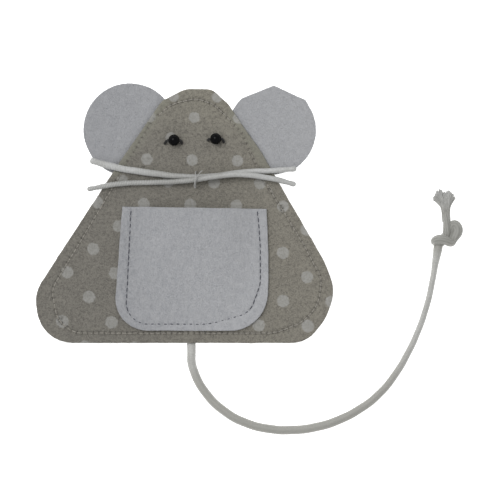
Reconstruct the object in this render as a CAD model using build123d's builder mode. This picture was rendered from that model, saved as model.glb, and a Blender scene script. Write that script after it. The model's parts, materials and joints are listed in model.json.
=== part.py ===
from build123d import *
import math
import os

# Flat hand-sewn felt mouse pouch, lying on its back, in millimetres.
# +Z points away from the table, +Y towards the head and +X to the right as it is seen from above.
# The origin is the centre of the felt shape on the table; the tail reaches beyond it.

os.makedirs("parts", exist_ok=True)

# Driving dimensions
FELT = 1.2  # thickness of every felt sheet
SEAM_THREAD = 0.44  # diameter of the sewing thread
SEAM_GROOVE = 0.6  # width of the dent that a seam presses into the felt
NEEDLE_SINK = 0.22  # depth of that dent in the felt's upper face
BOBBIN_SINK = 0.46  # and in its lower face, where the thread lies below the surface
OUTLINE_PITCH = 2.1  # stitch length of the outline seam
POCKET_PITCH = 2.4  # stitch length of the pocket seam
STITCH_SHARE = 0.8  # part of the pitch in which the thread shows
FOLD_GAP = 1.0  # from the edge of the body to the line where an ear folds
FOLD_PLAY = 0.1  # between an ear's round folding edge and its root
ROOT_DEPTH = 8.0  # how far an ear reaches between the two sheets
ROOT_THICK = 0.6  # an ear pressed between the sheets
BEAD_D = 4.3
BEAD_LENGTH = 4.1  # along its hole
BEAD_HOLE_D = 1.0
BEAD_END_R = math.sqrt(BEAD_D**2 - BEAD_LENGTH**2) / 2  # outer radius of the small flat round the hole
EYE_THREAD_D = 0.84  # a doubled thread in the bead's hole
BEAD_GAP = 0.1  # between a bead and the felt below it
WHISKER_D = 2.0
WHISKER_GAP = 0.35  # between a whisker cord and the felt below it
CROSSING_GAP = 0.2  # between the whisker cords where one lies over the other
TIE_D = 0.7
TIE_KNOT_R = 1.0
TAIL_D = 3.0
POCKET_GAPE = 4.9  # height of the pocket's mouth, inside
THREAD_END_Z = 1.3  # threads that enter the front sheet end here, below its upper face

SHEETS_MEET_Z = FELT
FRONT_TOP = 2 * FELT
RIM_TOP = 3 * FELT
WHISKER_Z = FRONT_TOP + WHISKER_GAP + WHISKER_D / 2
CROSSING_Z = WHISKER_Z + WHISKER_D + CROSSING_GAP
EYE_Z = FRONT_TOP + BEAD_GAP + BEAD_D / 2

# Outline of both body sheets: corner points and the radius at each
BODY_POINTS = [
    (-47.8, -48.6),
    (-54.8, -41.0),
    (-56.3, -29.8),
    (-24.8, 18.5),
    (-8.6, 42.0),
    (0.4, 46.5),
    (10.2, 46.4),
    (16.2, 40.8),
    (29.22, 21.84),
    (53.2, -19.8),
    (56.4, -30.0),
    (52.4, -40.0),
    (45.4, -48.6),
]
BODY_RADII = [13, 14, 13, 60, 4, 9, 5, 6, 30, 50, 14, 14, 11]

# Outline seam: corner points and the radius at each
OUTLINE_SEAM_POINTS = [
    (-41.0, -44.9),
    (-47.6, -40.4),
    (-49.8, -28.4),
    (-36.4, -6.2),
    (-11.6, 35.2),
    (-4.6, 41.0),
    (4.4, 42.9),
    (11.0, 40.6),
    (21.4, 30.2),
    (28.2, 14.6),
    (43.8, -10.6),
    (51.2, -24.4),
    (50.2, -33.8),
    (44.6, -40.6),
    (34.0, -44.9),
]
OUTLINE_SEAM_RADII = [9, 9, 9, 60, 12, 12, 9, 9, 16, 30, 60, 9, 14, 14, 16]

# Pocket panel and its seam, from the mouth's left end round to its right end
POCKET_POINTS = [(-23.3, 2.4), (-24.6, -14.0), (-26.9, -43.9), (31.0, -44.1), (31.4, -16.0), (30.6, 1.6)]
POCKET_RADII = [60, 12, 14.5, 60]
POCKET_SEAM_POINTS = [
    (-20.1, 1.2),
    (-22.2, -41.4),
    (9.0, -41.6),
    (24.2, -37.4),
    (28.2, -27.0),
    (28.3, -13.0),
    (27.2, 1.0),
]
POCKET_SEAM_RADII = [8, 30, 8, 12, 60]
# The slack of the pocket: y, left and right foot of the arch, and its height inside
POCKET_ARCHES = [
    (3.4, -19.2, 26.4, POCKET_GAPE),
    (-12.0, -19.8, 27.2, 0.95 * POCKET_GAPE),
    (-26.0, -20.2, 26.6, 0.6 * POCKET_GAPE),
    (-35.0, -18.6, 23.6, 0.2 * POCKET_GAPE),
    (-40.0, -13.0, 12.0, 0.02 * POCKET_GAPE),
]
# The arch's profile: share of its width, share of its height
ARCH_PROFILE = [(0.0, 0.0), (0.18, 0.47), (0.5, 1.0), (0.82, 0.47), (1.0, 0.0)]

# Ears: two points on the line of the body's edge beside each, with its outer side on the left of the way
LEFT_EDGE = [(-24.8, 18.5), (-8.6, 42.0)]
RIGHT_EDGE = [(16.2, 40.8), (37.9, 9.2)]
LEFT_EAR_CENTRE = (-20.6, 31.2)
LEFT_EAR_R = 17.4
RIGHT_EAR_CENTRE = (32.6, 31.0)
RIGHT_EAR_R = 16.5
# The right ear is snipped straight from its side to its apex, and from there to its corner
RIGHT_EAR_SIDE = (21.2, 42.6)
RIGHT_EAR_APEX = (33.3, 47.9)
RIGHT_EAR_CORNER = (45.2, 42.4)
EAR_REACH = 60.0  # longer and wider than any ear

# Eyes: x and y of each bead's centre, and how far its thread's two ends lie beside it and below it
LEFT_EYE = (-4.0, 27.2)
RIGHT_EYE = (11.6, 27.7)
EYE_THREAD_OUT = 3.3
EYE_THREAD_BACK = 1.0
EYE_THREAD_R = 0.75

# Whisker cords: the points that each one follows
UPPER_WHISKER_ROUTE = [
    (-35.4, 19.8, WHISKER_Z),
    (-26.8, 17.0, WHISKER_Z),
    (-14.5, 15.2, WHISKER_Z),
    (-1.5, 13.5, WHISKER_Z),
    (10.5, 13.6, WHISKER_Z),
    (22.5, 15.6, WHISKER_Z),
    (33.0, 15.7, WHISKER_Z),
    (41.8, 16.6, WHISKER_Z),
]
LOWER_WHISKER_ROUTE = [
    (-36.5, 8.8, WHISKER_Z),
    (-26.5, 11.0, WHISKER_Z),
    (-15.5, 11.4, WHISKER_Z),
    (-5.5, 11.5, WHISKER_Z + 0.4),
    (3.2, 12.2, CROSSING_Z),
    (11.8, 13.7, CROSSING_Z),
    (20.4, 14.6, CROSSING_Z),
    (28.6, 13.6, WHISKER_Z + 1.2),
    (35.2, 12.4, WHISKER_Z),
    (41.6, 10.6, WHISKER_Z),
]
# The thread that ties them down: its loop's points as y and z, its knot, and its two tails
TIE_X = 4.05
TIE_LOOP = [(15.7, THREAD_END_Z), (15.4, 4.6), (13.9, 7.6), (11.1, 7.6), (10.1, 4.8), (9.5, THREAD_END_Z)]
TIE_LOOP_R = 0.9
TIE_KNOT = (TIE_X, 12.6, 8.1)
TIE_UPPER_TAIL = [TIE_KNOT, (5.6, 14.6, 7.6), (6.8, 16.5, 6.2)]
TIE_LOWER_TAIL = [TIE_KNOT, (3.8, 10.6, 7.9), (3.6, 8.8, 6.4)]

# Tail: its flat root between the sheets as y, width, height and middle z, then its free route to the knot
TAIL_X = 2.4
TAIL_ROOT_SECTIONS = [
    (-42.2, 4.6, 1.0, 1.2),
    (-45.8, 4.6, 1.0, 1.2),
    (-48.6, 4.0, 1.7, 1.2),
    (-51.6, 3.0, 3.0, 1.5),
]
TAIL_Z = TAIL_D / 2
TAIL_ROUTE = [
    (TAIL_X, -51.6, TAIL_Z),
    (TAIL_X, -56.6, TAIL_Z),
    (4.9, -63.4, TAIL_Z),
    (10.6, -71.2, TAIL_Z),
    (20.0, -77.9, TAIL_Z),
    (31.8, -81.3, TAIL_Z),
    (45.6, -81.2, TAIL_Z),
    (58.5, -77.6, TAIL_Z),
    (70.8, -70.2, TAIL_Z),
    (79.4, -60.2, TAIL_Z),
    (86.8, -46.2, TAIL_Z),
    (91.4, -32.6, TAIL_Z),
    (94.3, -18.9, TAIL_Z),
    (95.6, -9.8, TAIL_Z + 0.3),
]
KNOT_CENTRE = (98.0, -7.5, 3.4)
KNOT_SIZE = (11.4, 10.5, 6.8)
FRAY_X = 97.6
FRAY_SECTIONS = [(-4.5, 2.9, 2.9, 1.6), (0.9, 2.9, 2.9, 1.5), (5.0, 6.4, 2.7, 1.4), (8.2, 7.6, 2.4, 1.3)]


def corner_radii(points):
    """The radius at each inner point: 0.45 of the shorter run over the tangent of half the turn."""
    radii = []
    for before, corner, after in zip(points, points[1:], points[2:]):
        run_in = Vector(corner) - Vector(before)
        run_out = Vector(after) - Vector(corner)
        half_turn = math.radians(run_in.get_angle(run_out)) / 2
        radii.append(0.45 * min(run_in.length, run_out.length) / math.tan(half_turn))
    return radii


def report_cord(cord, radii, path, diameter):
    """Print a cord's arcs, and compare its volume with its section times its length."""
    section = math.pi * diameter**2 / 4
    print(cord.label, "length", round(path.length, 1), "radii", [round(radius, 1) for radius in radii])
    print(cord.label, "volume over section times length", round(cord.volume / (section * path.length), 4))


def arch_points(left, right, foot, height):
    """Points of a slack cloth's arch over a hollow, as x and z."""
    width = right - left
    return [(left + share * width, foot + rise * height) for share, rise in ARCH_PROFILE]


def start_plane(path):
    """The plane square to a path at its start."""
    return Plane(origin=path @ 0, z_dir=path % 0)


def edge_plane(edge, height, outward):
    """A plane at a height, x along the body's edge and y outward, its origin `outward` beyond that edge."""
    start = Vector(*edge[0])
    along = (Vector(*edge[1]) - start).normalized()
    origin = start + Vector(-along.Y, along.X) * outward
    return Plane(origin=(origin.X, origin.Y, height), x_dir=along, z_dir=(0, 0, 1))


def fold_section_plane(edge):
    """The plane square to an ear's fold line, its origin on that line."""
    fold = edge_plane(edge, SHEETS_MEET_Z, FOLD_GAP)
    return Plane(origin=fold.origin, x_dir=(0, 0, 1), z_dir=fold.x_dir)


def stitch_places(seam, pitch, height):
    """The middle of each stitch along a seam, each place's z along the seam."""
    count = round(seam.length / pitch)
    places = []
    for stitch in range(count):
        share = (stitch + 0.5) / count
        middle = seam.position_at(share)
        origin = (middle.X, middle.Y, height)
        places.append(Plane(origin=origin, x_dir=(0, 0, 1), z_dir=seam.tangent_at(share)).location)
    return places


with BuildLine() as body_outline:
    FilletPolyline(BODY_POINTS, radius=BODY_RADII, close=True)

with BuildLine() as outline_seam:
    FilletPolyline(OUTLINE_SEAM_POINTS, radius=OUTLINE_SEAM_RADII, close=True)

with BuildLine() as pocket_sides:
    FilletPolyline(POCKET_POINTS, radius=POCKET_RADII)

with BuildLine() as pocket_seam:
    FilletPolyline(POCKET_SEAM_POINTS, radius=POCKET_SEAM_RADII)

with BuildSketch() as left_ear_shape:
    with Locations(LEFT_EAR_CENTRE):
        Circle(LEFT_EAR_R)

with BuildSketch() as right_ear_shape:
    with Locations(RIGHT_EAR_CENTRE):
        Circle(RIGHT_EAR_R)
    with BuildLine():
        Polyline(RIGHT_EAR_CENTRE, RIGHT_EAR_SIDE, RIGHT_EAR_APEX, RIGHT_EAR_CORNER, close=True)
    make_face()
    with BuildLine():
        above = RIGHT_EAR_CENTRE[1] + EAR_REACH
        Polyline(
            RIGHT_EAR_SIDE,
            (RIGHT_EAR_SIDE[0], above),
            (RIGHT_EAR_CORNER[0], above),
            RIGHT_EAR_CORNER,
            RIGHT_EAR_APEX,
            close=True,
        )
    make_face(mode=Mode.SUBTRACT)

# Ears, from their root between the sheets to the fold line, and from there to their rim
ear_roots = []
for side, edge, shape in (("left", LEFT_EDGE, left_ear_shape), ("right", RIGHT_EDGE, right_ear_shape)):
    root_bottom = SHEETS_MEET_Z - ROOT_THICK / 2
    with BuildPart() as ear_root:
        with BuildSketch(edge_plane(edge, root_bottom, -ROOT_DEPTH)):
            Rectangle(
                2 * EAR_REACH,
                ROOT_DEPTH + FOLD_GAP - FELT / 2 - FOLD_PLAY,
                align=(Align.CENTER, Align.MIN),
            )
        extrude(amount=ROOT_THICK)
        with BuildSketch(Plane.XY.offset(root_bottom)):
            add(shape.sketch)
        extrude(amount=ROOT_THICK, mode=Mode.INTERSECT)
    ear_root.part.label = f"ear_{side}_root"
    export_step(ear_root.part, f"parts/ear_{side}_root.step")
    ear_roots.append(ear_root.part)

    flap_bottom = SHEETS_MEET_Z - FELT / 2
    with BuildPart() as ear:
        with BuildSketch(edge_plane(edge, flap_bottom, FOLD_GAP)):
            Rectangle(2 * EAR_REACH, EAR_REACH, align=(Align.CENTER, Align.MIN))
        extrude(amount=FELT)
        with BuildSketch(fold_section_plane(edge)):
            Circle(FELT / 2)
        extrude(amount=EAR_REACH, both=True)
        with BuildSketch(Plane.XY.offset(flap_bottom)):
            add(shape.sketch)
        extrude(amount=FELT, mode=Mode.INTERSECT)
    ear.part.label = f"ear_{side}"
    export_step(ear.part, f"parts/ear_{side}.step")

# Tail root: pressed flat between the sheets, and round again outside them
with BuildPart() as tail_root:
    for y, width, height, middle_z in TAIL_ROOT_SECTIONS:
        with BuildSketch(Plane.XZ.offset(-y)):
            with Locations((TAIL_X, middle_z)):
                Ellipse(width / 2, height / 2)
    loft()
tail_root.part.label = "tail_root"
export_step(tail_root.part, "parts/tail_root.step")

# Body sheets, with the hollows that the ears, the tail and the seams press into them
with BuildPart() as body_back:
    with BuildSketch():
        with BuildLine():
            add(body_outline.line)
        make_face()
    extrude(amount=FELT)
    with BuildSketch():
        trace(outline_seam.line, line_width=SEAM_GROOVE)
    extrude(amount=BOBBIN_SINK, mode=Mode.SUBTRACT)
    add(ear_roots, mode=Mode.SUBTRACT)
    add(tail_root.part, mode=Mode.SUBTRACT)
body_back.part.label = "body_back"
export_step(body_back.part, "parts/body_back.step")

with BuildPart() as body_front:
    with BuildSketch(Plane.XY.offset(SHEETS_MEET_Z)):
        with BuildLine():
            add(body_outline.line)
        make_face()
    extrude(amount=FELT)
    with BuildSketch(Plane.XY.offset(FRONT_TOP)):
        trace(outline_seam.line, line_width=SEAM_GROOVE)
    extrude(amount=-NEEDLE_SINK, mode=Mode.SUBTRACT)
    with BuildSketch(Plane.XY.offset(SHEETS_MEET_Z)):
        trace(pocket_seam.line, line_width=SEAM_GROOVE)
    extrude(amount=BOBBIN_SINK, mode=Mode.SUBTRACT)
    add(ear_roots, mode=Mode.SUBTRACT)
    add(tail_root.part, mode=Mode.SUBTRACT)
body_front.part.label = "body_front"
export_step(body_front.part, "parts/body_front.step")

# Pocket: a flat rim under its seam, and a slack panel that arches over the hollow inside
with BuildPart() as pocket:
    with BuildSketch(Plane.XY.offset(FRONT_TOP)) as pocket_face:
        with BuildLine():
            add(pocket_sides.line)
            Line(POCKET_POINTS[-1], POCKET_POINTS[0])
        make_face()
    extrude(amount=FELT)
    for y, left, right, height in POCKET_ARCHES:
        with BuildSketch(Plane.XZ.offset(-y)):
            with BuildLine():
                Spline(arch_points(left, right, RIM_TOP, height), tangents=[(1, 0), (1, 0)])
                Polyline((right, RIM_TOP), (right, FRONT_TOP), (left, FRONT_TOP), (left, RIM_TOP))
            make_face()
    loft()
    for y, left, right, height in POCKET_ARCHES:
        with BuildSketch(Plane.XZ.offset(-y)):
            with BuildLine():
                Spline(arch_points(left, right, FRONT_TOP, height), tangents=[(1, 0), (1, 0)])
                Line((right, FRONT_TOP), (left, FRONT_TOP))
            make_face()
    loft(mode=Mode.SUBTRACT)
    with BuildSketch(Plane.XY.offset(RIM_TOP)):
        trace(pocket_seam.line, line_width=SEAM_GROOVE)
    extrude(amount=-NEEDLE_SINK, mode=Mode.SUBTRACT)
    extrude(pocket_face.sketch, amount=2 * POCKET_GAPE, mode=Mode.INTERSECT)
pocket.part.label = "pocket"
export_step(pocket.part, "parts/pocket.step")

# Seams: the stitches that show on the upper face, and those of the bobbin thread below
SEAMS = (
    ("outline_seam_needle_thread", outline_seam, OUTLINE_PITCH, FRONT_TOP - NEEDLE_SINK + SEAM_THREAD / 2),
    ("outline_seam_bobbin_thread", outline_seam, OUTLINE_PITCH, BOBBIN_SINK - SEAM_THREAD / 2),
    ("pocket_seam_needle_thread", pocket_seam, POCKET_PITCH, RIM_TOP - NEEDLE_SINK + SEAM_THREAD / 2),
    ("pocket_seam_bobbin_thread", pocket_seam, POCKET_PITCH, SHEETS_MEET_Z + BOBBIN_SINK - SEAM_THREAD / 2),
)
for name, seam, pitch, height in SEAMS:
    with BuildPart() as stitches:
        with Locations(*stitch_places(seam.wire(), pitch, height)):
            Cylinder(SEAM_THREAD / 2, STITCH_SHARE * pitch)
    stitches.part.label = name
    export_step(stitches.part, f"parts/{name}.step")

# Eyes: a bead with its hole along x, and the thread that holds it down at both sides
bead_end_angle = math.degrees(math.acos(BEAD_LENGTH / BEAD_D))
for side, (eye_x, eye_y) in (("left", LEFT_EYE), ("right", RIGHT_EYE)):
    with BuildPart() as bead:
        with BuildSketch(Plane(origin=(eye_x, eye_y, EYE_Z), x_dir=(1, 0, 0), z_dir=(0, -1, 0))):
            with BuildLine():
                CenterArc((0, 0), BEAD_D / 2, bead_end_angle, 180 - 2 * bead_end_angle)
                Polyline(
                    (BEAD_LENGTH / 2, BEAD_END_R),
                    (BEAD_LENGTH / 2, BEAD_HOLE_D / 2),
                    (-BEAD_LENGTH / 2, BEAD_HOLE_D / 2),
                    (-BEAD_LENGTH / 2, BEAD_END_R),
                )
            make_face()
        revolve(axis=Axis((eye_x, eye_y, EYE_Z), (1, 0, 0)))
    bead.part.label = f"eye_{side}_bead"
    export_step(bead.part, f"parts/eye_{side}_bead.step")

    with BuildPart() as eye_thread:
        with BuildLine() as eye_thread_path:
            FilletPolyline(
                (eye_x - EYE_THREAD_OUT, eye_y - EYE_THREAD_BACK, THREAD_END_Z),
                (eye_x - EYE_THREAD_OUT, eye_y, EYE_Z),
                (eye_x + EYE_THREAD_OUT, eye_y, EYE_Z),
                (eye_x + EYE_THREAD_OUT, eye_y - EYE_THREAD_BACK, THREAD_END_Z),
                radius=EYE_THREAD_R,
            )
        with BuildSketch(start_plane(eye_thread_path.line)):
            Circle(EYE_THREAD_D / 2)
        sweep()
    eye_thread.part.label = f"eye_{side}_thread"
    export_step(eye_thread.part, f"parts/eye_{side}_thread.step")

# Whiskers
upper_whisker_radii = corner_radii(UPPER_WHISKER_ROUTE)
with BuildPart() as whisker_upper:
    with BuildLine() as upper_whisker_path:
        FilletPolyline(UPPER_WHISKER_ROUTE, radius=upper_whisker_radii)
    with BuildSketch(start_plane(upper_whisker_path.line)):
        Circle(WHISKER_D / 2)
    sweep()
whisker_upper.part.label = "whisker_upper"
export_step(whisker_upper.part, "parts/whisker_upper.step")
report_cord(whisker_upper.part, upper_whisker_radii, upper_whisker_path.wire(), WHISKER_D)

lower_whisker_radii = corner_radii(LOWER_WHISKER_ROUTE)
with BuildPart() as whisker_lower:
    with BuildLine() as lower_whisker_path:
        FilletPolyline(LOWER_WHISKER_ROUTE, radius=lower_whisker_radii)
    with BuildSketch(start_plane(lower_whisker_path.line)):
        Circle(WHISKER_D / 2)
    sweep()
whisker_lower.part.label = "whisker_lower"
export_step(whisker_lower.part, "parts/whisker_lower.step")
report_cord(whisker_lower.part, lower_whisker_radii, lower_whisker_path.wire(), WHISKER_D)

# The tie: a loop of thread over both whiskers, its knot on top, and the knot's two tails
with BuildPart() as whisker_tie:
    with BuildLine() as tie_loop_path:
        FilletPolyline([(TIE_X, y, z) for y, z in TIE_LOOP], radius=TIE_LOOP_R)
    with BuildSketch(start_plane(tie_loop_path.line)):
        Circle(TIE_D / 2)
    sweep()
    for tail_points in (TIE_UPPER_TAIL, TIE_LOWER_TAIL):
        with BuildLine() as tie_tail_path:
            FilletPolyline(tail_points, radius=corner_radii(tail_points))
        with BuildSketch(start_plane(tie_tail_path.line)):
            Circle(TIE_D / 2)
        sweep(path=tie_tail_path.wire())
    with Locations(TIE_KNOT):
        Sphere(TIE_KNOT_R)
whisker_tie.part.label = "whisker_tie"
export_step(whisker_tie.part, "parts/whisker_tie.step")

# Tail
tail_radii = corner_radii(TAIL_ROUTE)
with BuildPart() as tail_cord:
    with BuildLine() as tail_path:
        FilletPolyline(TAIL_ROUTE, radius=tail_radii)
    with BuildSketch(start_plane(tail_path.line)):
        Circle(TAIL_D / 2)
    sweep()
tail_cord.part.label = "tail_cord"
export_step(tail_cord.part, "parts/tail_cord.step")
report_cord(tail_cord.part, tail_radii, tail_path.wire(), TAIL_D)

knot_ellipsoid = scale(Sphere(0.5), by=KNOT_SIZE)
with BuildPart() as tail_knot:
    add(knot_ellipsoid.moved(Location(KNOT_CENTRE)))
tail_knot.part.label = "tail_knot"
export_step(tail_knot.part, "parts/tail_knot.step")

with BuildPart() as tail_fray:
    for y, width, height, middle_z in FRAY_SECTIONS:
        with BuildSketch(Plane.XZ.offset(-y)):
            with Locations((FRAY_X, middle_z)):
                Ellipse(width / 2, height / 2)
    loft()
tail_fray.part.label = "tail_fray"
export_step(tail_fray.part, "parts/tail_fray.step")
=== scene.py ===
"""Flat hand-sewn felt mouse pouch with a cord tail: its looks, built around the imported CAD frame.

Metres, in the row frame: +Z away from the table, +Y towards the head, +X to the right as seen from above.
"""

import json
import math

import bmesh
import bpy
import numpy as np
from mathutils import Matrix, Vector, noise
from mathutils.bvhtree import BVHTree
from mathutils.geometry import convex_hull_2d, delaunay_2d_cdt
from mathutils.kdtree import KDTree


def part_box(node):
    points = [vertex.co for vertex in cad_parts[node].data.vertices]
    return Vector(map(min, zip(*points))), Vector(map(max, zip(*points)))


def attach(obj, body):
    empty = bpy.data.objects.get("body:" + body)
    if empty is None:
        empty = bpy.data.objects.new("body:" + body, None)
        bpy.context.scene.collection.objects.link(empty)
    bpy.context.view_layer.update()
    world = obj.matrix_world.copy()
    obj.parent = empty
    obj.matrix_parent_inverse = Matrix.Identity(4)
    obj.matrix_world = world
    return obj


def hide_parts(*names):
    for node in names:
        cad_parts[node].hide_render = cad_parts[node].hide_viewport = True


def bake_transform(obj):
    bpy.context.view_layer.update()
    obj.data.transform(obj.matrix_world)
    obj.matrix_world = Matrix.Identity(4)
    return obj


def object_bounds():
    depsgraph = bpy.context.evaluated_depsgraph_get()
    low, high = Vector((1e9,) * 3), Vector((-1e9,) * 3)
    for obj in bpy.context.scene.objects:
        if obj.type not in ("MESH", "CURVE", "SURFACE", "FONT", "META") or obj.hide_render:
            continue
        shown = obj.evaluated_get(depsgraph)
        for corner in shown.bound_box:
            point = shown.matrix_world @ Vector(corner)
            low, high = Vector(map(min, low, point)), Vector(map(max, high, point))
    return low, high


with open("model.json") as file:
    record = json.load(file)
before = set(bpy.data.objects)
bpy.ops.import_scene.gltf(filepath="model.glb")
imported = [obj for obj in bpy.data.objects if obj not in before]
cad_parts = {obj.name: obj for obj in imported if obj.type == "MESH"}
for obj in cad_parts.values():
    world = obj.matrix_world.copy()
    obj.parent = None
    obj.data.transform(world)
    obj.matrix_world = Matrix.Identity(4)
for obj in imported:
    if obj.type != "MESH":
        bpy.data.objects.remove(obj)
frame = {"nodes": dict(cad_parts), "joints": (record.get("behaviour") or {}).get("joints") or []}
CAD_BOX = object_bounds()
NODES = frame["nodes"]
MM = 0.001
rng = np.random.default_rng(11)


def in_scene(name, data):
    """A new object that holds this data, linked into the scene."""
    obj = bpy.data.objects.new(name, data)
    bpy.context.scene.collection.objects.link(obj)
    return obj


# ---------------- camera
VIEW_FIELD = 187.5 * MM  # what the picture takes in, at the object
VIEW_HEIGHT = 1.0
VIEW_OFFSET = (0.42 * MM, 3.28 * MM)  # from the middle of the object's box


def make_camera():
    """A camera looking straight down from well above the object."""
    middle = (CAD_BOX[0] + CAD_BOX[1]) / 2
    data = bpy.data.cameras.new("camera")
    data.sensor_width = 36
    data.lens = data.sensor_width * VIEW_HEIGHT / VIEW_FIELD
    data.clip_start, data.clip_end = 0.05, 10
    camera = in_scene("camera", data)
    camera.location = (middle.x + VIEW_OFFSET[0], middle.y + VIEW_OFFSET[1], VIEW_HEIGHT)
    bpy.context.scene.camera = camera


make_camera()


# ---------------- meshes
def piece(name, slot, parts):
    """One smooth object made of closed parts, with the looks of this material slot.

    A part is its points, its faces and a mark at each point: a number that its material reads.
    """
    faces, count = [], 0
    for points, part_faces, _ in parts:
        faces.extend(tuple(i + count for i in face) for face in part_faces)
        count += len(points)
    mesh = bpy.data.meshes.new(name)
    mesh.from_pydata(np.vstack([part[0] for part in parts]).tolist(), [], faces)
    marks = np.concatenate([part[2] for part in parts])
    mesh.attributes.new("mark", "FLOAT", "POINT").data.foreach_set("value", marks)
    mesh.shade_smooth()
    mesh.materials.append(LOOKS[slot])
    obj = in_scene(name, mesh)
    return obj


def unit(vectors):
    return vectors / np.maximum(np.linalg.norm(vectors, axis=-1, keepdims=True), 1e-12)


def smoothstep(low, high, values):
    share = np.clip((values - low) / (high - low), 0, 1)
    return share * share * (3 - 2 * share)


def wave(points, size, seed=0.0):
    """Smooth noise from -1 to 1 at each point, with hills about `size` across."""
    points = np.asarray(points, float)
    flat = points if points.shape[1] == 3 else np.c_[points, np.zeros(len(points))]
    return np.array([noise.noise(Vector(p) / size + Vector((seed, 2 * seed, 5))) for p in flat])


def tree_of(places):
    """A search tree of points seen from above."""
    tree = KDTree(len(places))
    for i, (x, y) in enumerate(places):
        tree.insert((x, y, 0), i)
    tree.balance()
    return tree


def to_nearest(tree, points):
    """The distance from each point to the nearest one in a tree."""
    return np.array([tree.find((*p, 0))[2] for p in points])


def smooth_line(control):
    """Points of the smooth NURBS line that has these control points."""
    curve = bpy.data.curves.new("line", "CURVE")
    curve.dimensions = "3D"
    curve.resolution_u = 24
    spline = curve.splines.new("NURBS")
    spline.points.add(len(control) - 1)
    for point, place in zip(spline.points, control):
        point.co = (*place, 1)
    spline.order_u = 3
    spline.use_endpoint_u = True
    holder = bpy.data.objects.new("line", curve)
    mesh = bpy.data.meshes.new_from_object(holder)
    line = np.array([v.co for v in mesh.vertices])
    bpy.data.objects.remove(holder)
    bpy.data.curves.remove(curve)
    bpy.data.meshes.remove(mesh)
    return line


def run_of(line):
    """The length from a line's start to each of its points."""
    return np.r_[0, np.cumsum(np.linalg.norm(np.diff(line, axis=0), axis=1))]


def at_runs(line, runs):
    """The points of a line at these lengths from its start."""
    run = run_of(line)
    return np.stack([np.interp(runs, run, line[:, k]) for k in range(3)], axis=1)


def axes_along(line):
    """Two directions square to a line at each of its points: to its side, and up as far as that goes."""
    ahead = unit(np.gradient(line, axis=0))
    starts_upright = abs(ahead[0, 2]) > 0.9
    up = np.array((0.0, 1.0, 0.0) if starts_upright else (0.0, 0.0, 1.0))
    ups = []
    for direction in ahead:
        up = unit(up - (up @ direction) * direction)
        ups.append(up)
    ups = np.array(ups)
    return np.cross(ahead, ups), ups


def tube(line, radius, sides=12, step=0.3 * MM, cap=None, section=None):
    """A closed tube along a line, as a part of a piece.

    section(run, angle) gives its width and height as shares of the radius, and its mark.
    """
    total = run_of(line)[-1]
    cap = min(radius if cap is None else cap, 0.3 * total)
    dome = cap * np.array([0.02, 0.12, 0.35, 0.7])
    inner = np.linspace(cap, total - cap, max(2, round((total - 2 * cap) / step) + 1))
    runs = np.r_[dome, inner, total - dome[::-1]]
    places = at_runs(line, runs)
    across, up = axes_along(places)
    angle = np.arange(sides) * 2 * math.pi / sides
    to_end = np.minimum(runs, total - runs)
    roundness = np.sqrt(1 - (1 - np.clip(to_end / cap, 0, 1)) ** 2)[:, None]
    wide = high = np.ones((len(runs), sides))
    marks = np.zeros((len(runs), sides))
    if section is not None:
        wide, high, marks = section(runs[:, None], angle[None, :])
    wide, high = wide * roundness * radius, high * roundness * radius
    ring = places[:, None] + (
        across[:, None] * (wide * np.cos(angle))[..., None] + up[:, None] * (high * np.sin(angle))[..., None]
    )
    faces = []
    for i in range(len(runs) - 1):
        for k in range(sides):
            a, b = i * sides + k, i * sides + (k + 1) % sides
            faces.append((a, b, b + sides, a + sides))
    faces.append(tuple(range(sides))[::-1])
    faces.append(tuple(range((len(runs) - 1) * sides, len(runs) * sides)))
    return ring.reshape(-1, 3), faces, np.broadcast_to(marks, wide.shape).ravel()


def plies(strands, turn, depth):
    """The section of a twisted thread: its strands wind once round in `turn`; its mark is high between the
    strands, where painted shade goes.
    """

    def section(run, angle):
        bulge = np.abs(np.cos(strands / 2 * (angle - 2 * math.pi * run / turn)))
        size = 1 - depth * (1 - bulge)
        return size, size, 1 - bulge

    return section


# ---------------- materials
def srgb(*channels):
    """A colour given as it is seen, from 0 to 255, in the linear values that a shader takes."""
    shares = [c / 255 for c in channels]
    return (*[s / 12.92 if s <= 0.04045 else ((s + 0.055) / 1.055) ** 2.4 for s in shares], 1.0)


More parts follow.
